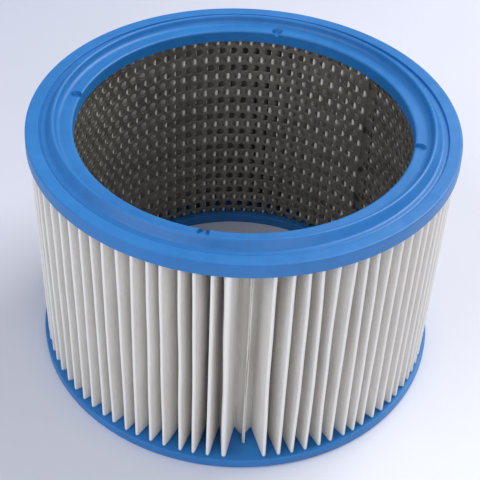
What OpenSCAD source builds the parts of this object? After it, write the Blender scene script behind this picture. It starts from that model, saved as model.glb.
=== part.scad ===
// Pleated cartridge filter for a wet and dry vacuum cleaner.
// Two cast end rings hold a folded fleece ring and a perforated steel core.
// Millimetres, +Z up, standing on the lower ring, the strip's seam at the front on -Y.

/* [End rings] */
// Diameter of the upper ring at the foot of its skirt
top_diameter = 185; // [150:1:220]
// Diameter of the lower ring
bottom_diameter = 186; // [150:1:220]
// Height from the floor to the flat rim of the upper ring
rim_height = 119; // [80:1:200]
// Thickness of the upper ring at its rim
top_thickness = 6.2; // [5:0.1:12]
// Thickness of the lower ring
bottom_thickness = 5; // [4:0.1:12]
// Diameter of the opening in the upper ring
top_opening = 145; // [120:1:170]
// Diameter of the opening in the lower ring
bottom_opening = 142; // [120:1:170]
// Radius at which the sealing ridge has its crest
ridge_radius = 80.6; // [78:0.1:84]
// Rise of the sealing ridge above the rim
ridge_rise = 3; // [1:0.1:5]
// Width of the flat rim
rim_width = 4.9; // [3:0.1:7]
// Depth of the valley between the rim and the ridge
valley_depth = 0.8; // [0.3:0.1:2]
// Drop of the inner land below the rim
land_drop = 1; // [0:0.1:2]

/* [Mould marks] */
// Diameter of the marks left by the mould's pins
pin_diameter = 5.2; // [3:0.1:8]
// Depth of the marks in the upper ring
top_pin_depth = 1.6; // [0.5:0.1:2]
// Depth of the marks in the lower ring
bottom_pin_depth = 1; // [0.3:0.1:1.2]
// Turn of the first mark from the front, to the right
pin_turn = -10.5; // [-45:0.5:45]

/* [Pleats] */
// Number of full pleats
pleat_count = 88; // [60:1:110]
// Thickness of the fleece
fleece = 0.6; // [0.3:0.05:1]
// Radius at which the outer folds turn
tip_radius = 91.3; // [85:0.1:92]
// Outside radius of a fold
fold_radius = 0.75; // [0.65:0.05:1.2]
// Outside radius of the wide fold beside the seam
wide_fold_radius = 1.6; // [0.8:0.1:2.5]
// Turn of the first fold right of the seam
gap_right = 9.3; // [6:0.1:14]
// Turn of the last fold left of the seam
gap_left = -1.9; // [-8:0.1:2]
// Turn of the seam
seam_turn = 3.9; // [0:0.1:8]
// Radius that the seam's fin reaches
seam_radius = 84; // [80:0.5:88]
// Uneven spacing of the folds, closer on the right than on the left
crowding = 4.5; // [0:0.1:8]
// Random wander of each fold
wander = 0.35; // [0:0.05:1]

/* [Support tube] */
// Inner radius where the rolled sheet starts
tube_radius = 73; // [70:0.1:74]
// Thickness of the sheet
sheet = 0.6; // [0.4:0.1:1]
// Width of the lapped seam
lap_width = 5; // [3:0.5:12]
// Turn of the lapped seam from the front, to the right
lap_turn = 127.5; // [0:0.5:360]
// Diameter of the holes
hole_diameter = 3.7; // [2:0.1:4.5]
// Distance between neighbouring holes
hole_pitch = 5.5; // [4:0.1:8]
// Height of the lowest row of holes
first_row = 6.5; // [5:0.1:12]
// Number of rows
row_count = 23; // [4:1:40]

/* [Hidden] */
$fn = 96;
// The mould's pins hold the ends of the fleece and the tube off its floor
pack_low = 1.6;
pack_high = rim_height - 3;
pack_height = pack_high - pack_low;
underside = rim_height - top_thickness;

// Rings
top_radius = top_diameter / 2;
bottom_radius = bottom_diameter / 2;
top_hole = top_opening / 2;
bottom_hole = bottom_opening / 2;
draft = 0.3;
edge_round = 0.6;
lower_round = 1.2;
land_round = 1;
crest_round = 0.9;
valley_round = 1.6;
skin_climb = 0.7;
groove_width = 0.7;
land_edge = ridge_radius - 3.6;
rim_edge = top_radius - draft - edge_round - rim_width;
round_steps = 6;

// Strip
fold_steps = 3;
folds = 2 * (pleat_count + 1);
root_radius = tube_radius + 2 * sheet + 0.1;
seam_fold_radius = fleece + 0.05;
seam_fold = 79;
slit = 0.15;
slit_depth = 2;
fold_step = (360 + gap_left - gap_right) / (pleat_count - 1);

// Tube
mean_radius = tube_radius + sheet / 2;
lap_angle = lap_width / mean_radius * 180 / PI;
lap_start = lap_turn - lap_angle / 2;
hole_step = hole_pitch / mean_radius * 180 / PI;
row_step = hole_pitch * sin(60);
column_count = floor((360 - 1.7 * lap_angle) / hole_step);
first_column = lap_turn + (360 - (column_count - 0.5) * hole_step) / 2;

// Points of an arc about a centre from one angle to another
function arc(centre, radius, from, to, steps = round_steps) =
    [for (k = [0:steps]) let (a = from + (to - from) * k / steps) centre + radius * [cos(a), sin(a)]];

// Point at a turn to the right of the front
function around(turn, radius) = [radius * sin(turn), -radius * cos(turn)];

// Steady value between -1 and 1 for each whole number
function scatter(k) = 2 * rands(0, 1, 1, 7 + 13 * k)[0] - 1;

// Turn of each full fold, in order to the right from the seam
function tip_turn(i) =
    let (even = gap_right + fold_step * i)
    even - crowding * (1 - cos(even)) + (i == 0 || i == pleat_count - 1 ? 0 : wander * scatter(i));

// Even folds are crests, odd folds are roots, and fold 0 is the seam
function crest_turn(k) = k == 0 ? seam_turn : k == folds ? 360 + seam_turn : tip_turn(k / 2 - 1);
function fold_centre(k) =
    k % 2 == 0
        ? around(crest_turn(k), (k == 0 ? seam_fold : tip_radius) - crest_bend(k))
        : around((crest_turn(k - 1) + crest_turn(k + 1)) / 2, root_radius + fold_radius);

// Outside radius of a crest
function crest_bend(k) = k == 0 ? seam_fold_radius : k == folds - 2 ? wide_fold_radius : fold_radius;

// Radius of the strip's outer face and inner face round a fold
function bend(k, outer) =
    k % 2 == 0
        ? (outer ? crest_bend(k) : crest_bend(k) - fleece)
        : (outer ? fold_radius - fleece : fold_radius);

// Heading of the flat stretch from fold k to the next, tangent to both folds on opposite sides
function heading(k, outer) =
    let (
        next = (k + 1) % folds,
        gap = fold_centre(next) - fold_centre(k),
        lean = asin((bend(k, outer) + bend(next, outer)) / norm(gap))
    )
    atan2(gap[1], gap[0]) + (k % 2 == 0 ? lean : -lean);

// Turn round fold k, from the heading on which the strip arrives to that on which it leaves
function bend_arc(k, outer) =
    let (
        side = k % 2 == 0 ? -90 : 90,
        arrive = heading((k + folds - 1) % folds, outer),
        leave = heading(k, outer),
        turn = k % 2 == 0 ? (leave - arrive + 720) % 360 : -((arrive - leave + 720) % 360)
    )
    arc(fold_centre(k), bend(k, outer), arrive + side, arrive + side + turn, fold_steps);

// Fin of the seam: the strip's two ends side by side, glued below an open slit
function fin() = [
    for (p = [[-1, 0], [-slit, 0], [-slit, -slit_depth], [slit, -slit_depth], [slit, 0], [1, 0]])
        around(seam_turn, seam_radius + p[1])
            + fleece * p[0] * [cos(seam_turn), sin(seam_turn)]
];

// One face of the strip as a closed outline
function strip_outline(outer) = [
    for (k = [0:folds - 1])
        let (points = bend_arc(k, outer))
        each k == 0 && outer ? concat([points[0]], fin(), [points[fold_steps]]) : points
];

// Rounded profile of the upper ring, from its opening to its skirt
function top_profile() = concat(
    [[top_hole, underside - skin_climb], [tube_radius + 2.5, underside], [top_radius, underside]],
    arc([top_radius - draft - edge_round, rim_height - edge_round], edge_round, 0, 90),
    [[rim_edge, rim_height], [rim_edge - 0.2, rim_height - valley_depth - 0.2]],
    [[rim_edge - groove_width, rim_height - valley_depth - 0.2]],
    [[rim_edge - groove_width - 0.4, rim_height - valley_depth]],
    arc([ridge_radius + 4.1, rim_height - valley_depth + valley_round], valley_round, -90, -140),
    arc([ridge_radius, rim_height + ridge_rise - crest_round], crest_round, 40, 125),
    arc([land_edge + 0.6, rim_height - land_drop + 2.2], 2.2, -40, -90),
    arc([top_hole + land_round, rim_height - land_drop - land_round], land_round, 90, 180)
);

// Section between two closed outlines, one inside the other
module ring_section(outside, inside) {
    shift = len(outside);
    polygon(
        concat(outside, inside),
        [[for (k = [0:shift - 1]) k], [for (k = [0:len(inside) - 1]) shift + k]]
    );
}

module fleece_prism() {
    translate([0, 0, pack_low])
        linear_extrude(pack_height)
            ring_section(strip_outline(true), strip_outline(false));
}

// One face of the rolled sheet, which grows by its own thickness in a turn.
// It bends along the lines between the columns of holes.
function roll_face(from, to, base) = [
    for (turn = concat([from], [for (k = [0:column_count]) first_column + hole_step * (k - 0.5)], [to]))
        around(turn, base + sheet * (turn - lap_start) / 360)
];

module rolled_sheet() {
    outside = roll_face(lap_start + lap_angle, lap_start + lap_angle + 360, tube_radius + sheet);
    inside = roll_face(lap_start, lap_start + 360, tube_radius);
    translate([0, 0, pack_low])
        linear_extrude(pack_height)
            ring_section(outside, inside);
}

module hole_grid() {
    for (row = [0:row_count - 1])
        for (column = [0:column_count - 1])
            translate([0, 0, first_row + row_step * row])
                rotate(first_column + hole_step * (column + (row % 2) / 2))
                    rotate([90, 0, 0])
                        translate([0, 0, tube_radius - 2])
                            cylinder(d = hole_diameter, h = 2 * sheet + 4);
}

module pin_marks(radius, low, depth) {
    for (k = [0:3])
        rotate(pin_turn + 90 * k)
            translate([0, -radius, low])
                cylinder(d = pin_diameter, h = depth);
}

module top_end_cap() {
    color([0.1, 0.42, 0.75])
        difference() {
            rotate_extrude() polygon(top_profile());
            fleece_prism();
            rolled_sheet();
            pin_marks(top_hole + 2.2, rim_height - land_drop - top_pin_depth, top_pin_depth + 1);
        }
}

module bottom_end_cap() {
    color([0.1, 0.42, 0.75])
        difference() {
            rotate_extrude()
                polygon(concat(
                    [[bottom_hole, bottom_thickness], [bottom_hole, edge_round]],
                    arc([bottom_hole + edge_round, edge_round], edge_round, 180, 270),
                    arc([bottom_radius - lower_round, lower_round], lower_round, -90, 0),
                    arc([bottom_radius - edge_round, bottom_thickness - edge_round], edge_round, 0, 90)
                ));
            fleece_prism();
            rolled_sheet();
            pin_marks(bottom_hole + 2.3, -1, bottom_pin_depth + 1);
        }
}

module support_tube() {
    color([0.55, 0.52, 0.48])
        difference() {
            rolled_sheet();
            hole_grid();
        }
}

module pleat_pack() {
    color([0.93, 0.92, 0.9])
        fleece_prism();
}

top_end_cap();
bottom_end_cap();
support_tube();
pleat_pack();
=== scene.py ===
"""Looks of a pleated cartridge filter for a wet and dry vacuum cleaner.

Two rings cast from blue polyurethane hold a strip of white fleece, folded into
pleats, and a tube rolled from perforated steel. Sizes are in millimetres until
they enter a mesh. A turn is an angle in degrees from the front, -Y, to the right.
"""

import logging
import math
from dataclasses import dataclass
from enum import Enum

import bpy
import numpy as np
from mathutils import Matrix, Vector


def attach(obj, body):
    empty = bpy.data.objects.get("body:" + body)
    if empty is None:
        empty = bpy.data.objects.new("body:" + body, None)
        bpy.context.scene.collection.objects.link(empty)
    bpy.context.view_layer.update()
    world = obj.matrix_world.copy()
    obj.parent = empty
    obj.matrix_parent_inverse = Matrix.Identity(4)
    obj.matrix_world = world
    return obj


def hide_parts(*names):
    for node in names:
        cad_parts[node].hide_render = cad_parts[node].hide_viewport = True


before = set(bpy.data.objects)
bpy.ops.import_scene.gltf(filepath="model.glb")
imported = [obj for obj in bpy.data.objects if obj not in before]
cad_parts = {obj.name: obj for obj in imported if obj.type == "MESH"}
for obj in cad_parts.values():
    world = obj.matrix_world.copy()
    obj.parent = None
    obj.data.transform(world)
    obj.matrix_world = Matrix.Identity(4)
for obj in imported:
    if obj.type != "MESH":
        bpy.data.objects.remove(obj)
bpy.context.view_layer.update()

MM = 0.001
IMAGE_WIDTH = 480
log = logging.getLogger("filter")


# Shapes

def around(turn: np.ndarray, radius: np.ndarray, height: np.ndarray) -> np.ndarray:
    """Place points by their turn from the front, their radius and their height.

    x is the radius times the turn's sine, y is minus the radius times its cosine.

    Args:
        turn: Turns in degrees.
        radius: Radii in millimetres.
        height: Heights in millimetres.

    Returns:
        The points, with a last axis of three.
    """
    angle = np.radians(turn)
    return np.stack(np.broadcast_arrays(radius * np.sin(angle), -radius * np.cos(angle), height), axis=-1)


def grid_faces(rows: int, columns: int, close_rows: bool = False, close_columns: bool = False) -> np.ndarray:
    """List the four-cornered faces of a grid of points.

    Args:
        rows: Number of rows of points.
        columns: Number of points in a row.
        close_rows: Whether the last row joins the first.
        close_columns: Whether each row's last point joins its first.

    Returns:
        Indices of each face's corners, one face a row.
    """
    row = np.arange(rows if close_rows else rows - 1)[:, None]
    column = np.arange(columns if close_columns else columns - 1)[None, :]
    next_row, next_column = (row + 1) % rows, (column + 1) % columns
    corners = [row * columns + column, row * columns + next_column,
               next_row * columns + next_column, next_row * columns + column]
    return np.stack(np.broadcast_arrays(*corners), axis=-1).reshape(-1, 4)


def rim_edges(faces: np.ndarray) -> np.ndarray:
    """Find the edges that belong to one face only, in that face's direction.

    Args:
        faces: Indices of each face's corners.

    Returns:
        Pairs of indices.
    """
    edges = np.stack([faces, np.roll(faces, -1, axis=1)], axis=-1).reshape(-1, 2)
    _, place, count = np.unique(np.sort(edges, axis=1), axis=0, return_index=True, return_counts=True)
    return edges[place[count == 1]]


def facing_out(points: np.ndarray, faces: np.ndarray) -> np.ndarray:
    """Turn all faces round if the closed surface they form is inside out.

    The enclosed volume is a sixth of the sum of each triangle's triple product,
    and is negative where the faces point inwards.

    Args:
        points: Points of the surface.
        faces: Indices of each face's corners.

    Returns:
        The faces, pointing outwards.
    """
    a, b, c, d = (points[faces[:, k]] for k in range(4))
    volume = np.einsum("ij,ij->", a, np.cross(b, c)) + np.einsum("ij,ij->", a, np.cross(c, d))
    return faces if volume > 0 else faces[:, ::-1]


def add_piece(name: str, points: np.ndarray, faces: np.ndarray, sharp: float,
              marks: dict[str, np.ndarray] | None = None) -> bpy.types.Object:
    """Make a smooth-shaded object at the origin from points in millimetres.

    Args:
        name: Name of the object.
        points: Points, one a row.
        faces: Indices of each face's four corners.
        sharp: Angle in degrees past which an edge stays sharp.
        marks: Values between 0 and 1 for each point, by name.

    Returns:
        The object.
    """
    mesh = bpy.data.meshes.new(name)
    mesh.vertices.add(len(points))
    mesh.vertices.foreach_set("co", (points * MM).astype(np.float32).ravel())
    mesh.loops.add(faces.size)
    mesh.loops.foreach_set("vertex_index", faces.astype(np.int32).ravel())
    mesh.polygons.add(len(faces))
    mesh.polygons.foreach_set("loop_start", np.arange(0, faces.size, 4, dtype=np.int32))
    mesh.update(calc_edges=True)
    mesh.shade_smooth()
    mesh.set_sharp_from_angle(angle=math.radians(sharp))
    for mark, values in (marks or {}).items():
        layer = mesh.attributes.new(mark, "FLOAT", "POINT")
        layer.data.foreach_set("value", values.astype(np.float32).ravel())
    piece = bpy.data.objects.new(name, mesh)
    bpy.context.scene.collection.objects.link(piece)
    mesh.calc_loop_triangles()
    log.info("%s: %d points, %d triangles", name, len(mesh.vertices), len(mesh.loop_triangles))
    return piece


def rounded(corners: np.ndarray, steps: int, spacing: float) -> np.ndarray:
    """Round a closed outline's corners and divide its straight stretches.

    Each corner becomes an arc tangent to both its sides: with half the corner's
    angle h, the arc's centre is radius / sin h away along the bisector, and its ends
    are radius / tan h away along the sides.

    Args:
        corners: Corners as rows of radius from the axis, height and rounding.
        steps: Steps in each arc.
        spacing: Longest step along a straight stretch.

    Returns:
        Points of the outline, as rows of radius from the axis and height.
    """
    place, bend = corners[:, :2], corners[:, 2:3]
    back = np.roll(place, 1, axis=0) - place
    ahead = np.roll(place, -1, axis=0) - place
    back /= np.linalg.norm(back, axis=1, keepdims=True)
    ahead /= np.linalg.norm(ahead, axis=1, keepdims=True)
    half = np.arccos(np.clip((back * ahead).sum(axis=1, keepdims=True), -1, 1)) / 2
    middle = back + ahead
    middle /= np.linalg.norm(middle, axis=1, keepdims=True)
    centre = place + middle * bend / np.sin(half)
    first = place + back * bend / np.tan(half) - centre
    last = place + ahead * bend / np.tan(half) - centre
    share = np.linspace(0, 1, steps + 1)[None, :, None]
    sweep = (np.pi - 2 * half)[:, None]
    arcs = first[:, None] * np.sin((1 - share) * sweep) + last[:, None] * np.sin(share * sweep)
    arcs = arcs / np.sin(sweep)
    points = (centre[:, None] + arcs).reshape(-1, 2)
    step = np.roll(points, -1, axis=0) - points
    parts = np.maximum(np.ceil(np.linalg.norm(step, axis=1) / spacing).astype(int), 1)
    source = np.repeat(np.arange(len(points)), parts)
    order = np.arange(parts.sum()) - np.repeat(np.cumsum(parts) - parts, parts)
    return points[source] + step[source] * (order / parts[source])[:, None]


def smooth_step(value: np.ndarray) -> np.ndarray:
    """Ease from 0 to 1 as the value goes from 0 to 1, by three squares less two cubes."""
    value = np.clip(value, 0, 1)
    return value * value * (3 - 2 * value)


# Shader nodes

class Shading:
    """Places nodes in one node tree and links them."""

    def __init__(self, tree: bpy.types.NodeTree) -> None:
        """Keep the tree that the nodes go into."""
        self.tree = tree

    def node(self, kind: str, values: dict | None = None, **settings) -> bpy.types.Node:
        """Add a node.

        Args:
            kind: The node's type name.
            values: Input sockets' constants or the output sockets that feed them.
            settings: The node's own properties.

        Returns:
            The node.
        """
        made = self.tree.nodes.new(kind)
        for key, value in settings.items():
            setattr(made, key, value)
        for socket, value in (values or {}).items():
            self.feed(made.inputs[socket], value)
        return made

    def feed(self, socket: bpy.types.NodeSocket, value: object) -> None:
        """Link an output socket to an input, or set the input's constant."""
        if isinstance(value, bpy.types.NodeSocket):
            self.tree.links.new(value, socket)
        else:
            socket.default_value = value

    def noise(self, vector: bpy.types.NodeSocket, scale: object, detail: float = 3.0,
              roughness: float = 0.55) -> bpy.types.NodeSocket:
        """Noise between 0 and 1 at a number of features a metre."""
        values = {"Vector": vector, "Scale": scale, "Detail": detail, "Roughness": roughness}
        return self.node("ShaderNodeTexNoise", values).outputs["Fac"]

    def stretched(self, vector: bpy.types.NodeSocket, scale: tuple[float, float, float],
                  turn: tuple[float, float, float] = (0.0, 0.0, 0.0)) -> bpy.types.NodeSocket:
        """Coordinates scaled along each axis, after a turn."""
        values = {"Vector": vector, "Scale": scale, "Rotation": turn}
        return self.node("ShaderNodeMapping", values).outputs["Vector"]

    def spread(self, value: object, low: float, high: float, to_low: float = 0.0,
               to_high: float = 1.0) -> bpy.types.NodeSocket:
        """Map a value's range onto another range, held at its ends."""
        values = {"Value": value, "From Min": low, "From Max": high, "To Min": to_low, "To Max": to_high}
        return self.node("ShaderNodeMapRange", values, clamp=True).outputs["Result"]

    def math(self, operation: str, first: object, second: object = 0.0) -> bpy.types.NodeSocket:
        """One step of arithmetic."""
        return self.node("ShaderNodeMath", {0: first, 1: second}, operation=operation).outputs["Value"]

    def mix(self, share: object, first: object, second: object, blend: str = "MIX") -> bpy.types.NodeSocket:
        """Mix two colours."""
        made = self.node("ShaderNodeMix", data_type="RGBA", blend_type=blend)
        for index, value in ((0, share), (6, first), (7, second)):
            self.feed(made.inputs[index], value)
        return made.outputs[2]

    def bump(self, height: object, distance: float, strength: float = 1.0,
             normal: bpy.types.NodeSocket | None = None) -> bpy.types.NodeSocket:
        """Normal of a surface raised by a height, at most a distance in metres."""
        values = {"Height": height, "Distance": distance, "Strength": strength}
        if normal is not None:
            values["Normal"] = normal
        return self.node("ShaderNodeBump", values).outputs["Normal"]


def group(name: str, inputs: dict[str, tuple[str, object]], outputs: dict[str, str]) -> tuple:
    """Start a shader node group with named sockets.

    Args:
        name: Name of the group.
        inputs: For each input its socket type and default value, or None.
        outputs: For each output its socket type.

    Returns:
        The group's tree, its shading helper, its input node and its output node.
    """
    tree = bpy.data.node_groups.new(name, "ShaderNodeTree")
    for label, (kind, default) in inputs.items():
        socket = tree.interface.new_socket(label, in_out="INPUT", socket_type=kind)
        if default is not None:
            socket.default_value = default
    for label, kind in outputs.items():
        tree.interface.new_socket(label, in_out="OUTPUT", socket_type=kind)
    shading = Shading(tree)
    return tree, shading, shading.node("NodeGroupInput"), shading.node("NodeGroupOutput")


FLOAT, COLOUR, VECTOR = "NodeSocketFloat", "NodeSocketColor", "NodeSocketVector"


class SharedEffects:
    """Node groups that more than one finish uses, each built once."""

    def __init__(self) -> None:
        """Build the groups."""
        self.mottling = self._mottling()
        self.grain = self._grain()

    @staticmethod
    def _mottling() -> bpy.types.NodeTree:
        """Build soft cloudy patches between two colours, over a wide and a narrow scale."""
        tree, s, given, out = group(
            "soft_mottling",
            {"Vector": (VECTOR, None), "Dark": (COLOUR, (0, 0, 0, 1)), "Light": (COLOUR, (1, 1, 1, 1)),
             "Wide": (FLOAT, 30.0), "Narrow": (FLOAT, 300.0)},
            {"Color": COLOUR, "Patches": FLOAT},
        )
        wide = s.noise(given.outputs["Vector"], given.outputs["Wide"], 2.0)
        narrow = s.noise(given.outputs["Vector"], given.outputs["Narrow"], 3.0)
        both = s.math("ADD", s.math("MULTIPLY", wide, 0.6), s.math("MULTIPLY", narrow, 0.4))
        share = s.spread(both, 0.32, 0.68)
        s.feed(out.inputs["Color"], s.mix(share, given.outputs["Dark"], given.outputs["Light"]))
        s.feed(out.inputs["Patches"], share)
        return tree

    @staticmethod
    def _grain() -> bpy.types.NodeTree:
        """Build a fine relief of small bumps and sparse round pits."""
        tree, s, given, out = group(
            "fine_grain",
            {"Vector": (VECTOR, None), "Bumps": (FLOAT, 900.0), "Pits": (FLOAT, 250.0),
             "Pit share": (FLOAT, 0.1)},
            {"Height": FLOAT, "Pit": FLOAT},
        )
        fine = s.noise(given.outputs["Vector"], given.outputs["Bumps"], 4.0, 0.6)
        values = {"Vector": given.outputs["Vector"], "Scale": given.outputs["Pits"]}
        cells = s.node("ShaderNodeTexVoronoi", values)
        chosen = s.node("ShaderNodeSeparateColor", {"Color": cells.outputs["Color"]}).outputs[0]
        wanted = s.math("LESS_THAN", chosen, given.outputs["Pit share"])
        pit = s.math("MULTIPLY", wanted, s.spread(cells.outputs["Distance"], 0.1, 0.22, 1.0, 0.0))
        s.feed(out.inputs["Height"], s.math("SUBTRACT", fine, pit))
        s.feed(out.inputs["Pit"], pit)
        return tree


def start_material(name: str) -> tuple:
    """Start a material whose surface is one Principled shader.

    Args:
        name: Name of the material.

    Returns:
        The material, its shading helper, its shader and its object coordinates.
    """
    material = bpy.data.materials.new(name)
    material.use_nodes = True
    material.node_tree.nodes.clear()
    s = Shading(material.node_tree)
    shader = s.node("ShaderNodeBsdfPrincipled")
    s.node("ShaderNodeOutputMaterial", {"Surface": shader.outputs["BSDF"]})
    return material, s, shader, s.node("ShaderNodeTexCoord").outputs["Object"]


@dataclass(frozen=True)
class CastPolyurethane:
    """Blue polyurethane as it leaves the mould: satin, faintly rippled, with a few pinholes painted darker
    as shade.
    """

    dark: tuple = (0.012, 0.15, 0.43, 1.0)
    light: tuple = (0.022, 0.19, 0.52, 1.0)
    roughness: tuple = (0.36, 0.46)

    def material(self, name: str, effects: SharedEffects) -> bpy.types.Material:
        """Build the material.

        Args:
            name: Name of the material.
            effects: The shared node groups.

        Returns:
            The material.
        """
        material, s, shader, place = start_material(name)
        values = {"Vector": place, "Dark": self.dark, "Light": self.light, "Wide": 22.0, "Narrow": 160.0}
        mottling = s.node("ShaderNodeGroup", node_tree=effects.mottling)
        for socket, value in values.items():
            s.feed(mottling.inputs[socket], value)
        grain = s.node("ShaderNodeGroup", node_tree=effects.grain)
        for socket, value in {"Vector": place, "Bumps": 1400.0, "Pits": 330.0, "Pit share": 0.012}.items():
            s.feed(grain.inputs[socket], value)
        # Painted shade: the pinholes' colour is darkened towards deep blue, as shade inside them.
        pale = s.mix(grain.outputs["Pit"], mottling.outputs["Color"], (0.006, 0.07, 0.24, 1.0))
        s.feed(shader.inputs["Base Color"], pale)
        rough = s.spread(mottling.outputs["Patches"], 0.0, 1.0, *self.roughness)
        s.feed(shader.inputs["Roughness"], rough)
        ripple = s.bump(s.noise(place, 55.0, 2.0), 0.0006)
        s.feed(shader.inputs["Normal"], s.bump(grain.outputs["Height"], 0.00004, normal=ripple))
        shader.inputs["IOR"].default_value = 1.48
        return material


@dataclass(frozen=True)
class Fleece:
    """White polyester fleece: matted fibres, cloudy where they lie thin, lighter along the crests, partly as
    fold whitening and partly as a painted highlight.
    """

    thin: tuple = (0.70, 0.67, 0.62, 1.0)
    thick: tuple = (0.80, 0.775, 0.73, 1.0)
    pale_fibre_and_crest_highlight: tuple = (0.86, 0.85, 0.83, 1.0)
    soak: tuple = (0.10, 0.27, 0.52, 1.0)

    def material(self, name: str, effects: SharedEffects, floor: float,
                 ceiling: float) -> bpy.types.Material:
        """Build the material.

        Args:
            name: Name of the material.
            effects: The shared node groups.
            floor: Height of the lower ring's face, up to which the fleece is soaked.
            ceiling: Height of the upper ring's underside.

        Returns:
            The material.
        """
        material, s, shader, place = start_material(name)
        mottling = s.node("ShaderNodeGroup", node_tree=effects.mottling)
        upright = s.stretched(place, (1.0, 1.0, 0.35))
        values = {"Vector": upright, "Dark": self.thin, "Light": self.thick, "Wide": 90.0, "Narrow": 900.0}
        for socket, value in values.items():
            s.feed(mottling.inputs[socket], value)
        leaning = s.noise(s.stretched(place, (1500.0, 1500.0, 260.0), (0.0, 0.35, 0.2)), 1.0, 2.0, 0.7)
        crossing = s.noise(s.stretched(place, (420.0, 420.0, 1900.0), (0.0, -0.3, 0.6)), 1.0, 2.0, 0.7)
        fibres = s.math("ADD", leaning, crossing)
        strands = s.spread(fibres, 0.85, 1.2, 0.0, 0.16)
        felt = s.mix(strands, mottling.outputs["Color"], self.pale_fibre_and_crest_highlight)
        # Crests lighter: partly fold whitening, partly a painted highlight where the tips catch the light.
        fold = s.node("ShaderNodeAttribute", attribute_name="crest").outputs["Fac"]
        whitened_and_highlit = s.mix(s.math("MULTIPLY", fold, 0.75), felt, self.pale_fibre_and_crest_highlight)
        height = s.node("ShaderNodeSeparateXYZ", {"Vector": place}).outputs["Z"]
        wicking = s.math("MULTIPLY", s.noise(place, 500.0, 2.0), 0.0011)
        sunk = s.math("SUBTRACT", height, wicking)
        low = s.spread(sunk, floor * MM - 0.0002, floor * MM + 0.0004, 1.0, 0.0)
        high = s.spread(s.math("ADD", height, wicking), ceiling * MM - 0.0003, ceiling * MM + 0.0001)
        s.feed(shader.inputs["Base Color"], s.mix(s.math("MAXIMUM", low, high), whitened_and_highlit, self.soak))
        s.feed(shader.inputs["Roughness"], s.spread(fibres, 0.7, 1.3, 0.82, 0.95))
        cushion = s.bump(mottling.outputs["Patches"], 0.00012)
        s.feed(shader.inputs["Normal"], s.bump(fibres, 0.00012, normal=cushion))
        shader.inputs["IOR"].default_value = 1.3
        return material


@dataclass(frozen=True)
class ZincedSteel:
    """Dull zinced sheet steel, mottled in streaks and speckled, scorched where the lap is spot welded, with
    a painted shade line along the inner end's edge.
    """

    dark: tuple = (0.16, 0.145, 0.12, 1.0)
    light: tuple = (0.27, 0.25, 0.215, 1.0)
    scorch_and_shade_black: tuple = (0.012, 0.012, 0.015, 1.0)
    welds: tuple = ((108.0, 3.0), (84.0, 3.4), (60.0, 3.4), (42.0, 4.5), (36.0, 3.2), (14.0, 3.2))

    def material(self, name: str, effects: SharedEffects, turn: float, radius: float) -> bpy.types.Material:
        """Build the material.

        Args:
            name: Name of the material.
            effects: The shared node groups.
            turn: Turn of the lapped edge.
            radius: Radius of the tube.

        Returns:
            The material.
        """
        material, s, shader, place = start_material(name)
        mottling = s.node("ShaderNodeGroup", node_tree=effects.mottling)
        values = {"Vector": s.stretched(place, (1.0, 1.0, 2.2)), "Dark": self.dark, "Light": self.light,
                  "Wide": 45.0, "Narrow": 420.0}
        for socket, value in values.items():
            s.feed(mottling.inputs[socket], value)
        grain = s.node("ShaderNodeGroup", node_tree=effects.grain)
        for socket, value in {"Vector": place, "Bumps": 1100.0, "Pits": 600.0, "Pit share": 0.06}.items():
            s.feed(grain.inputs[socket], value)
        warp = s.node("ShaderNodeTexNoise", {"Vector": place, "Scale": 420.0, "Detail": 3.0})
        values = {0: warp.outputs["Color"], 1: (0.5, 0.5, 0.5)}
        shift = s.node("ShaderNodeVectorMath", values, operation="SUBTRACT").outputs[0]
        shift = s.node("ShaderNodeVectorMath", {0: shift, "Scale": 0.006}, operation="SCALE").outputs[0]
        moved = s.node("ShaderNodeVectorMath", {0: place, 1: shift}, operation="ADD").outputs[0]
        scorch = 0.0
        for height, size in self.welds:
            spot = tuple(around(np.array(turn), np.array(radius), np.array(height)) * MM)
            gap = s.node("ShaderNodeVectorMath", {0: moved, 1: spot}, operation="DISTANCE").outputs["Value"]
            scorch = s.math("MAXIMUM", scorch, s.spread(gap, size * 0.35 * MM, size * MM, 1.0, 0.0))
        # Painted shade: a dark line along the inner end's edge, where the step of the lap falls in shade; it
        # joins the real weld scorch.
        edge = s.node("ShaderNodeAttribute", attribute_name="lap").outputs["Fac"]
        painted_edge_shade = s.math("MULTIPLY", edge, s.spread(s.noise(place, 160.0, 3.0), 0.35, 0.62, 0.15, 0.8))
        scorch_and_edge_shade = s.math("MAXIMUM", scorch, painted_edge_shade)
        s.feed(shader.inputs["Base Color"], s.mix(scorch_and_edge_shade, mottling.outputs["Color"], self.scorch_and_shade_black))
        s.feed(shader.inputs["Metallic"], s.spread(scorch_and_edge_shade, 0.0, 1.0, 0.75, 0.2))
        rough = s.spread(mottling.outputs["Patches"], 0.0, 1.0, 0.42, 0.62)
        s.feed(shader.inputs["Roughness"], rough)
        s.feed(shader.inputs["Normal"], s.bump(grain.outputs["Height"], 0.00005))
        return material


# Pieces

@dataclass(frozen=True)
class PinMarks:
    """Round marks that the mould's four pins leave in a ring's face."""

    radius: float
    face: float
    depth: float
    upwards: bool
    turn: float = -10.5
    diameter: float = 5.2
    wall: float = 0.35

    def press(self, points: np.ndarray) -> np.ndarray:
        """Press the marks into a surface.

        A point inside a mark goes no higher than the mark's floor, which is its
        depth below the face. Across the wall's width the floor eases up past the face.

        Args:
            points: Points of the ring, in millimetres.

        Returns:
            The points with the marks pressed in.
        """
        turns = self.turn + 90 * np.arange(4)
        centres = around(turns, np.array(self.radius), np.array(0.0))[:, :2]
        away = np.linalg.norm(points[..., None, :2] - centres, axis=-1).min(axis=-1)
        inside = smooth_step((self.diameter / 2 - away) / self.wall)
        side = 1.0 if self.upwards else -1.0
        floor = self.face - side * (self.depth * inside - 12.0 * (1 - inside))
        pressed = points.copy()
        near = side * (points[..., 2] - self.face) > -self.depth - 2.5
        limit = np.minimum if self.upwards else np.maximum
        pressed[..., 2] = np.where(near, limit(points[..., 2], floor), points[..., 2])
        return pressed


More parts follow.
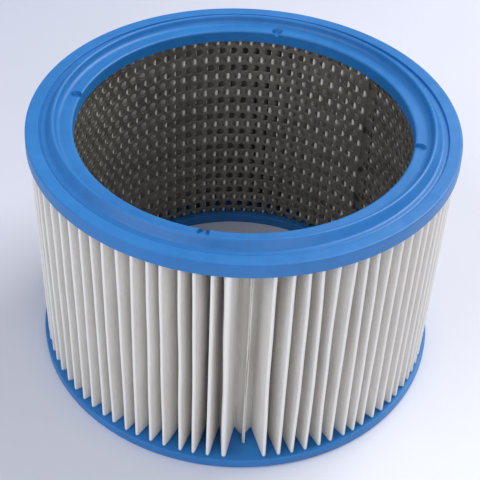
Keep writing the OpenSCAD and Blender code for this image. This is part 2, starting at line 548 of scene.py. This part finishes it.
@dataclass(frozen=True)
class CastRing:
    """A ring cast round the ends of the fleece and of the tube, turned from one outline."""

    name: str
    node: str
    corners: tuple
    marks: PinMarks
    arc_steps: int = 6
    spacing: float = 0.7
    segments: int = 640
    crowding: float = 0.75

    def turns(self) -> np.ndarray:
        """Turns of the outline's copies, closest together at the four marks.

        From an even angle s, the turn is s less crowding / 4 times the sine of four
        times s's distance from the first mark.
        """
        even = np.arange(self.segments) * 2 * np.pi / self.segments
        lag = self.crowding / 4 * np.sin(4 * (even - math.radians(self.marks.turn)))
        return np.degrees(even - lag)

    def surface(self) -> tuple[np.ndarray, np.ndarray]:
        """Carry the rounded outline round the axis and press the marks in.

        Returns:
            Points and faces of the closed ring.
        """
        outline = rounded(np.array(self.corners, dtype=float), self.arc_steps, self.spacing)
        points = around(self.turns()[:, None], outline[None, :, 0], outline[None, :, 1])
        points = self.marks.press(points)
        faces = grid_faces(*points.shape[:2], close_rows=True, close_columns=True)
        points = points.reshape(-1, 3)
        return points, facing_out(points, faces)

    def build(self, finish: bpy.types.Material) -> bpy.types.Object:
        """Build the ring in place of its CAD node.

        Args:
            finish: Material of the ring.

        Returns:
            The piece.
        """
        points, faces = self.surface()
        piece = add_piece(self.name, points, faces, 38.0)
        piece.data.materials.append(finish)
        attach(piece, "root")
        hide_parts(self.node)
        return piece


class Side(Enum):
    """The two faces of the strip."""

    OUTER = 1
    INNER = 0


@dataclass(frozen=True)
class PleatPack:
    """The folded strip of fleece, closed into a ring by the fin of its seam."""

    node: str = "pleat_pack"
    count: int = 88
    fleece: float = 0.6
    tip_radius: float = 91.3
    root_radius: float = 74.3
    fold_radius: float = 0.75
    wide_fold: float = 1.6
    seam_fold: float = 79.0
    seam_radius: float = 84.0
    seam_turn: float = 3.9
    low: float = 1.6
    high: float = 116.0
    levels: int = 27
    arc_steps: int = 5
    flat_steps: int = 4
    lean: float = 0.28
    bow: float = 0.22
    bulge: float = 0.28

    def crests(self) -> np.ndarray:
        """Turns of the full folds to the right from the seam, read off the CAD node.

        Returns:
            One turn for each fold, the mean of the points that lie furthest out in it.
        """
        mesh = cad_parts[self.node].data
        points = np.empty(len(mesh.vertices) * 3, dtype=np.float32)
        mesh.vertices.foreach_get("co", points)
        points = points.reshape(-1, 3) / MM
        far = points[np.hypot(points[:, 0], points[:, 1]) > self.tip_radius - 0.4]
        turn = np.sort((np.degrees(np.arctan2(far[:, 0], -far[:, 1])) - self.seam_turn) % 360)
        folds = np.split(turn, np.flatnonzero(np.diff(turn) > 1.2) + 1)
        log.info("%s: %d folds found", self.node, len(folds))
        return np.array([(fold.min() + fold.max()) / 2 for fold in folds]) + self.seam_turn

    def centres(self, rise: np.ndarray) -> tuple[np.ndarray, np.ndarray]:
        """Centres and outer bends of all folds, level by level.

        Even folds are crests and odd folds are roots, half way between their
        neighbours. Fold 0 is the seam. A crest's turn leans with the height, bows with
        its square, and wavers a little.

        Args:
            rise: Height of each level between -1 at the foot and 1 at the head.

        Returns:
            Centres by level and fold, and the crests' and roots' bends alike.
        """
        draw = np.random.default_rng(11)
        crests = self.crests()
        size = len(crests)
        lean, bow = draw.uniform(-self.lean, self.lean, size), draw.normal(0, self.bow, size)
        waver, phase = draw.uniform(0, 0.07, size), draw.uniform(0, 6.28, size)
        up = rise[:, None]
        turns = crests + lean * up + bow * (1 - up * up) + waver * np.sin(7 * up + phase)
        seam = self.seam_turn + 0.12 * np.sin(5 * up + 1.0)
        tips = np.concatenate([seam, turns], axis=1)
        bends = np.full(tips.shape, self.fold_radius)
        bends[:, 0] = self.fleece + 0.05
        bends[:, -1] = self.fold_radius + (self.wide_fold - self.fold_radius) * (0.6 + 0.4 * rise)
        radii = np.full(tips.shape, self.tip_radius) - bends
        radii[:, 0] = self.seam_fold - self.fleece - 0.05
        after = np.concatenate([tips[:, 1:], tips[:, :1] + 360], axis=1)
        roots = around((tips + after) / 2, np.array(self.root_radius + self.fold_radius), np.array(0.0))
        crest = around(tips, radii, np.array(0.0))
        both = np.stack([crest[..., :2], roots[..., :2]], axis=2).reshape(len(rise), -1, 2)
        inner = np.full(bends.shape, self.fold_radius - self.fleece)
        return both, np.stack([bends, inner], axis=2).reshape(len(rise), -1)

    def face(self, side: Side, rise: np.ndarray) -> np.ndarray:
        """Work out one face of the strip as a closed path at every level.

        Each fold is an arc about its centre, wider on the outer face at a crest and on
        the inner face at a root. A flat runs tangent to both its folds, so it heads
        along the line of their centres, turned by the arcsine of the sum of their radii
        over their distance. It swells sideways by a sine of the way along it.

        Args:
            side: The face.
            rise: Height of each level between -1 and 1.

        Returns:
            Points by level and place along the path, as x and y.
        """
        centre, bend = self.centres(rise)
        folds = centre.shape[1]
        crest = np.arange(folds) % 2 == 0
        if side is Side.INNER:
            bend = np.where(crest, bend - self.fleece, bend + self.fleece)
        gap = np.roll(centre, -1, axis=1) - centre
        reach = np.linalg.norm(gap, axis=-1)
        tilt = np.degrees(np.arcsin((bend + np.roll(bend, -1, axis=1)) / reach))
        leave = np.degrees(np.arctan2(gap[..., 1], gap[..., 0])) + np.where(crest, tilt, -tilt)
        arrive = np.roll(leave, 1, axis=1)
        turned = np.where(crest, (leave - arrive) % 360, -((arrive - leave) % 360))
        start = arrive + np.where(crest, -90, 90)
        share = np.linspace(0, 1, self.arc_steps + 1)
        angle = np.radians(start[..., None] + turned[..., None] * share)
        rays = np.stack([np.cos(angle), np.sin(angle)], axis=-1)
        arcs = centre[..., None, :] + bend[..., None, None] * rays
        begin, end = arcs[:, :, -1], np.roll(arcs[:, :, 0], -1, axis=1)
        along = end - begin
        across = np.stack([-along[..., 1], along[..., 0]], axis=-1)
        across /= np.linalg.norm(across, axis=-1, keepdims=True)
        draw = np.random.default_rng(23)
        swell = draw.normal(0, self.bulge, (2, folds))
        height = swell[0] * (1 - rise[:, None] ** 2) + 0.5 * swell[1] * np.sin(np.pi * rise[:, None])
        part = (np.arange(1, self.flat_steps) / self.flat_steps)[:, None]
        flats = begin[:, :, None] + along[:, :, None] * part
        flats = flats + across[:, :, None] * (height[..., None] * np.sin(np.pi * part[:, 0]))[..., None]
        strip = np.concatenate([arcs, flats], axis=2).reshape(len(rise), -1, 2)
        fin = self.fin(side, arcs[:, 0], rise)
        return np.concatenate([fin, strip[:, self.arc_steps + 1:]], axis=1)

    def fin(self, side: Side, arc: np.ndarray, rise: np.ndarray) -> np.ndarray:
        """Shape the seam: two layers side by side, with a thin wavering slit between.

        Args:
            side: The face of the strip.
            arc: The seam's own fold by level, which the fin stands on.
            rise: Height of each level between -1 and 1.

        Returns:
            Points by level along the fin's outline.
        """
        shape = np.array([[-1.0, -3.5], [-1.0, -0.5], [-0.92, -0.15], [-0.6, 0.0], [-0.3, -0.1], [0.0, -0.4],
                          [0.0, -1.0], [0.0, -2.2], [0.0, -2.2], [0.0, -1.0], [0.0, -0.5], [0.3, -0.22],
                          [0.6, -0.12], [0.92, -0.3], [1.0, -0.6], [1.0, -3.5]])
        slit = np.array([0, 0, 0, 0, 0, -1, -0.8, -0.3, 0.3, 0.8, 1, 0, 0, 0, 0, 0])
        size = len(shape) + 2
        if side is Side.INNER:
            share = np.linspace(0, self.arc_steps, size)
            low = np.floor(share).astype(int).clip(0, self.arc_steps - 1)
            part = (share - low)[None, :, None]
            return arc[:, low] * (1 - part) + arc[:, low + 1] * part
        wave = 0.13 * np.sin(9 * rise + 0.5) + 0.08 * np.sin(23 * rise)
        opening = 0.07 + 0.05 * np.sin(6 * rise + 2.0) + 0.03 * np.sin(31 * rise)
        drop = 0.25 * np.sin(4 * rise + 0.4) - 0.25
        inner = np.abs(shape[:, 0]) < 0.5
        sideways = self.fleece * shape[None, :, 0] + inner * wave[:, None] + slit * opening[:, None]
        outwards = self.seam_radius + shape[None, :, 1] + drop[:, None]
        turn = math.radians(self.seam_turn)
        out = np.array([math.sin(turn), -math.cos(turn)])
        right = np.array([math.cos(turn), math.sin(turn)])
        points = outwards[..., None] * out + sideways[..., None] * right
        return np.concatenate([arc[:, :1], points, arc[:, -1:]], axis=1)

    def build(self, finish: bpy.types.Material) -> bpy.types.Object:
        """Build the pack in place of its CAD node.

        Args:
            finish: Material of the fleece.

        Returns:
            The piece.
        """
        heights = np.linspace(self.low, self.high, self.levels)
        rise = 2 * (heights - self.low) / (self.high - self.low) - 1
        rings = []
        for side in Side:
            path = self.face(side, rise)
            level = np.broadcast_to(heights[:, None, None], path.shape[:2] + (1,))
            rings.append(np.concatenate([path, level], axis=2))
        outer, inner = rings
        points = np.concatenate([outer, inner[::-1]], axis=0)
        faces = grid_faces(*points.shape[:2], close_rows=True, close_columns=True)
        radius = np.linalg.norm(points[..., :2], axis=-1)
        # Mark of the outermost crests, where the fleece is painted lighter: fold whitening plus painted
        # highlight.
        crest = smooth_step((radius - (self.tip_radius - 0.55)) / 0.4)
        points = points.reshape(-1, 3)
        piece = add_piece(self.node + "_folds", points, facing_out(points, faces), 60.0, {"crest": crest})
        piece.data.materials.append(finish)
        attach(piece, "root")
        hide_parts(self.node)
        return piece


@dataclass(frozen=True)
class SupportTube:
    """Perforated sheet rolled into a tube, its inner end lapped over its outer end."""

    node: str = "support_tube"
    radius: float = 73.0
    sheet: float = 0.6
    pitch: float = 5.5
    hole: float = 3.7
    lip: float = 0.14
    rows: int = 23
    columns: int = 83
    first_row: float = 6.5
    end_turn: float = 129.3
    blank: float = 5.2
    lap: float = 5.0
    drop: float = 0.6
    low: float = 1.6
    high: float = 116.0

    def pattern(self) -> tuple[np.ndarray, np.ndarray, np.ndarray]:
        """Lay out the flat sheet: a hexagon round each hole and plain margins.

        A hexagon's corners lie pitch / root 3 from its centre and its side's middles
        pitch / 2, so neighbours share them. Rows are pitch times the sine of 60 degrees
        apart, and every second row is half a pitch further on and one hole shorter.

        Returns:
            Points as rows of distance along the sheet and height, faces, and for each
            point the direction to its hole's centre, or zero.
        """
        row = np.arange(self.rows)
        place = self.blank + self.pitch * (np.arange(self.columns)[None, :] + 0.5 * (row[:, None] % 2))
        level = self.first_row + self.pitch * math.sin(math.pi / 3) * row[:, None]
        centre = np.stack(np.broadcast_arrays(place, level), axis=-1)
        inside = np.arange(self.columns)[None, :] < self.columns - 1
        kept = np.broadcast_to(inside | (row[:, None] % 2 == 0), place.shape)
        angle = np.radians(30 * np.arange(12))
        rays = np.stack([np.cos(angle), np.sin(angle)], axis=-1)
        length = np.where(np.arange(12) % 2 == 1, self.pitch / math.sqrt(3), self.pitch / 2)
        cells = centre[kept]
        hexagons = cells[:, None] + rays * length[:, None]
        circles = cells[:, None] + rays * (self.hole / 2)
        number = len(cells) * 12
        at = np.arange(number).reshape(-1, 12)
        following = np.roll(at, -1, axis=1)
        rings = np.stack([at, following, following + number, at + number], axis=-1).reshape(-1, 4)
        margins, corners = self.margins(hexagons, kept)
        points = np.concatenate([hexagons.reshape(-1, 2), circles.reshape(-1, 2), corners])
        inward = np.zeros_like(points)
        inward[number:2 * number] = -np.broadcast_to(rays, hexagons.shape).reshape(-1, 2)
        faces = np.concatenate([rings, margins + 2 * number])
        _, first, merged = np.unique(np.round(points, 3), axis=0, return_index=True, return_inverse=True)
        return points[first], merged.reshape(-1)[faces], inward[first]

    def margins(self, hexagons: np.ndarray, kept: np.ndarray) -> tuple[np.ndarray, np.ndarray]:
        """Fill the plain sheet between the outermost hexagons and its four edges.

        Args:
            hexagons: Outline of each hexagon.
            kept: Which places of the full rows hold one.

        Returns:
            Faces and their points.
        """
        index = np.full(kept.shape, -1)
        index[kept] = np.arange(kept.sum())
        starts, ends = [], []
        for number in range(self.rows):
            even = number % 2 == 0
            first, last = hexagons[index[number, 0]], hexagons[index[number][kept[number]][-1]]
            near = [8, 7, 6, 5, 4] if even else [7, 6, 5]
            far = [10, 11, 0, 1, 2] if even else [11, 0, 1]
            starts.append(first[near])
            ends.append(last[far])
        bands = []
        for border, edge in ((np.concatenate(starts), 0.0), (np.concatenate(ends), self.length())):
            lowest, highest = border[:1] * [1, 0] + [0, self.low], border[-1:] * [1, 0] + [0, self.high]
            border = np.concatenate([lowest, border, highest])
            bands.append((border, np.stack([np.full(len(border), edge), border[:, 1]], axis=-1)))
        rims = ((0, [7, 8, 9, 10, 11], self.low), (self.rows - 1, [5, 4, 3, 2, 1], self.high))
        for number, side, edge in rims:
            border = hexagons[index[number][kept[number]]][:, side].reshape(-1, 2)
            bands.append((border, np.stack([border[:, 0], np.full(len(border), edge)], axis=-1)))
        faces, points, shift = [], [], 0
        for border, edge in bands:
            steps = np.flatnonzero(np.linalg.norm(np.diff(border, axis=0), axis=1) > 0.001)
            size = len(border)
            faces.append(np.stack([steps, steps + 1, steps + 1 + size, steps + size], axis=-1) + shift)
            points += [border, edge]
            shift += 2 * size
        return np.concatenate(faces), np.concatenate(points)

    def length(self) -> float:
        """Length of the sheet, once round and over the lap."""
        return 2 * math.pi * self.radius + self.lap

    def rolled(self, flat: np.ndarray, depth: float) -> np.ndarray:
        """Roll the flat sheet up.

        The distance along the sheet becomes a turn to the left about the radius. The
        radius grows by the sheet's thickness in a full turn, and the height drops.

        Args:
            flat: Points as rows of distance along the sheet and height.
            depth: Depth below the inner face.

        Returns:
            Points of the tube.
        """
        angle = np.degrees(flat[:, 0] / self.radius)
        radius = self.radius + self.sheet * 1.02 * angle / 360 + depth
        height = flat[:, 1] - self.drop * (angle / 360 - 0.5)
        return around(self.end_turn - angle, radius, np.clip(height, self.low, self.high))

    def build(self, finish: bpy.types.Material) -> bpy.types.Object:
        """Build the tube in place of its CAD node.

        Args:
            finish: Material of the sheet.

        Returns:
            The piece.
        """
        flat, faces, inward = self.pattern()
        faces = facing_up(flat, faces)
        count = len(flat)
        layers = [self.rolled(flat - inward * self.lip, 0.0), self.rolled(flat, self.lip),
                  self.rolled(flat, self.sheet)]
        edges = rim_edges(faces)
        holes = np.abs(inward[edges]).sum(axis=(1, 2)) > 0
        first, last = edges[:, 0], edges[:, 1]
        lips = np.stack([last, first, first + count, last + count], axis=-1)[holes]
        walls = np.stack([last, first, first + 2 * count, last + 2 * count], axis=-1)
        walls[holes, :2] += count
        points = np.concatenate(layers)
        whole = np.concatenate([faces, faces[:, ::-1] + 2 * count, lips, walls])
        used, compact = np.unique(whole, return_inverse=True)
        points, whole = points[used], compact.reshape(-1, 4)
        along = np.concatenate([flat[:, 0]] * 3)[used]
        # Mark along the inner end's edge, for the steel's painted shade line.
        lap = smooth_step(1 - np.abs(along) / 2.2)
        piece = add_piece(self.node + "_sheet", points, facing_out(points, whole), 35.0, {"lap": lap})
        piece.data.materials.append(finish)
        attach(piece, "root")
        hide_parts(self.node)
        return piece


def facing_up(flat: np.ndarray, faces: np.ndarray) -> np.ndarray:
    """Turn each face of a flat pattern so that its corners run anticlockwise.

    A face's signed area is half the cross product of its two diagonals.

    Args:
        flat: Points of the pattern.
        faces: Indices of each face's corners.

    Returns:
        The faces, all turned the same way.
    """
    corners = flat[faces]
    one, two = corners[:, 2] - corners[:, 0], corners[:, 3] - corners[:, 1]
    area = one[:, 0] * two[:, 1] - one[:, 1] * two[:, 0]
    return np.where(area[:, None] > 0, faces, faces[:, ::-1])


# Studio

@dataclass(frozen=True)
class Lamp:
    """A soft rectangular lamp that looks at the filter."""

    name: str
    place: tuple[float, float, float]
    width: float
    power: float
    colour: tuple[float, float, float] = (1.0, 1.0, 1.0)

    def build(self, target: Vector) -> None:
        """Hang the lamp, turned to a target."""
        light = bpy.data.lights.new(self.name, "AREA")
        light.shape, light.size = "SQUARE", self.width
        light.energy, light.color = self.power, self.colour
        lamp = bpy.data.objects.new(self.name, light)
        lamp.location = self.place
        lamp.rotation_euler = (target - Vector(self.place)).to_track_quat("-Z", "Y").to_euler()
        bpy.context.scene.collection.objects.link(lamp)


@dataclass(frozen=True)
class Studio:
    """The pale floor, the soft lamps and the camera at the photograph's angle."""

    floor_radius: float = 6.0
    elevation: float = 41.49
    roll: float = 2.604
    distance: float = 517.1
    target: tuple[float, float, float] = (0.36, 0.0, 49.8)
    focal_pixels: float = 1109.8
    sensor: float = 36.0
    lamps: tuple = (
        Lamp("key", (0.75, 0.55, 1.1), 0.9, 17.0, (1.0, 0.99, 0.97)),
        Lamp("fill", (-0.9, -0.7, 1.0), 1.2, 9.0, (0.95, 0.97, 1.0)),
        Lamp("front", (0.5, -1.2, 0.8), 0.8, 4.0),
    )

    def floor(self, effects: SharedEffects) -> None:
        """Lay the floor, a disc of rings painted with light falloff from pale lilac grey at the back left to
        near white at the front right.
        """
        rings, spokes = 24, 96
        radius = np.linspace(0, 1, rings) ** 2 * self.floor_radius / MM + 1
        turn = np.arange(spokes) * 360 / spokes
        points = around(turn[None, :], radius[:, None], np.array(-0.02)).reshape(-1, 3)
        faces = grid_faces(rings, spokes, close_columns=True)
        corner, ahead, _, beside = points[faces[0]]
        up = np.cross(ahead - corner, beside - corner)[2]
        floor = add_piece("floor", points, faces if up > 0 else faces[:, ::-1], 30.0)
        material, s, shader, place = start_material("pale_floor")
        # Painted light falloff: darker towards the back left, lighter towards the front right.
        across = s.node("ShaderNodeVectorMath", {0: place, 1: (0.62, -0.78, 0.0)}, operation="DOT_PRODUCT")
        share = s.spread(across.outputs["Value"], -0.35, 0.3)
        mottling = s.node("ShaderNodeGroup", node_tree=effects.mottling)
        for socket, value in {"Vector": place, "Dark": (0.97, 0.97, 0.97, 1.0), "Light": (1, 1, 1, 1),
                              "Wide": 3.0, "Narrow": 20.0}.items():
            s.feed(mottling.inputs[socket], value)
        painted_falloff = s.mix(share, (0.56, 0.58, 0.68, 1.0), (0.83, 0.84, 0.90, 1.0))
        s.feed(shader.inputs["Base Color"], s.mix(1.0, painted_falloff, mottling.outputs["Color"], "MULTIPLY"))
        shader.inputs["Roughness"].default_value = 0.8
        shader.inputs["Specular IOR Level"].default_value = 0.1
        floor.data.materials.append(material)

    def world(self) -> None:
        """Set the even, pale light of the room."""
        world = bpy.data.worlds.new("room")
        world.use_nodes = True
        background = world.node_tree.nodes["Background"]
        background.inputs["Color"].default_value = (0.86, 0.9, 1.0, 1.0)
        background.inputs["Strength"].default_value = 0.45
        bpy.context.scene.world = world

    def camera(self) -> None:
        """Set the camera up: it looks down at the elevation, rolled a little to the left."""
        tilt, roll = math.radians(self.elevation), math.radians(self.roll)
        target = Vector(self.target) * MM
        back = Vector((0.0, -math.cos(tilt), math.sin(tilt)))
        place = Vector((0.0, 0.0, target.z)) + back * self.distance * MM
        look = (target - place).normalized()
        right = look.cross(Vector((0.0, 0.0, 1.0))).normalized()
        up = right.cross(look)
        rolled_right = right * math.cos(roll) + up * math.sin(roll)
        rolled_up = up * math.cos(roll) - right * math.sin(roll)
        data = bpy.data.cameras.new("camera")
        data.sensor_width = self.sensor
        data.lens = self.focal_pixels / IMAGE_WIDTH * self.sensor
        data.clip_start, data.clip_end = 0.01, 50.0
        camera = bpy.data.objects.new("camera", data)
        basis = Matrix((rolled_right, rolled_up, -look)).transposed()
        camera.matrix_world = Matrix.Translation(place) @ basis.to_4x4()
        bpy.context.scene.collection.objects.link(camera)
        bpy.context.scene.camera = camera

    def build(self, effects: SharedEffects) -> None:
        """Set the studio up round the filter."""
        self.floor(effects)
        self.world()
        for lamp in self.lamps:
            lamp.build(Vector((0.0, 0.0, 0.06)))
        self.camera()
        bpy.context.scene.view_settings.view_transform = "Standard"


# Radius, height and rounding of each corner, from the opening round the skirt to the rim
UPPER_CORNERS = (
    (72.5, 112.1, 0.2), (75.5, 112.8, 0.6), (92.48, 112.8, 0.35), (92.2, 119.0, 0.6), (86.7, 119.0, 0.22),
    (86.5, 118.0, 0.12), (86.0, 118.0, 0.12), (85.6, 118.2, 0.2), (83.9, 118.2, 1.4), (80.365, 122.89, 0.9),
    (79.07, 118.0, 2.2), (72.5, 118.0, 0.95),
)
LOWER_CORNERS = (
    (71.0, 5.0, 0.35), (71.0, 0.0, 0.55), (92.96, 0.0, 1.2), (92.96, 5.0, 0.6),
)
UPPER_MARKS = PinMarks(radius=74.7, face=118.0, depth=1.6, upwards=True)
LOWER_MARKS = PinMarks(radius=73.3, face=0.0, depth=1.0, upwards=False)


@dataclass(frozen=True)
class Filter:
    """The whole cartridge filter and its finishes."""

    blue: CastPolyurethane = CastPolyurethane()
    white: Fleece = Fleece()
    steel: ZincedSteel = ZincedSteel()
    pleats: PleatPack = PleatPack()
    tube: SupportTube = SupportTube()
    upper: CastRing = CastRing("upper_ring", "top_end_cap", UPPER_CORNERS, UPPER_MARKS)
    lower: CastRing = CastRing("lower_ring", "bottom_end_cap", LOWER_CORNERS, LOWER_MARKS)
    lower_face: float = 5.0
    upper_face: float = 112.8
    weld_inset: float = 1.2

    def build(self, effects: SharedEffects) -> None:
        """Build the four pieces."""
        blue = self.blue.material("blue_polyurethane", effects)
        self.upper.build(blue)
        self.lower.build(blue)
        weld_turn = self.tube.end_turn - self.weld_inset
        self.tube.build(self.steel.material("zinced_steel", effects, weld_turn, self.tube.radius))
        white = self.white.material("white_fleece", effects, self.lower_face, self.upper_face)
        self.pleats.build(white)


def main() -> None:
    """Build the filter and the studio, and report each piece."""
    logging.basicConfig(level=logging.INFO, format="%(name)s: %(message)s")
    effects = SharedEffects()
    Filter().build(effects)
    Studio().build(effects)


if __name__ == "__main__":
    main()
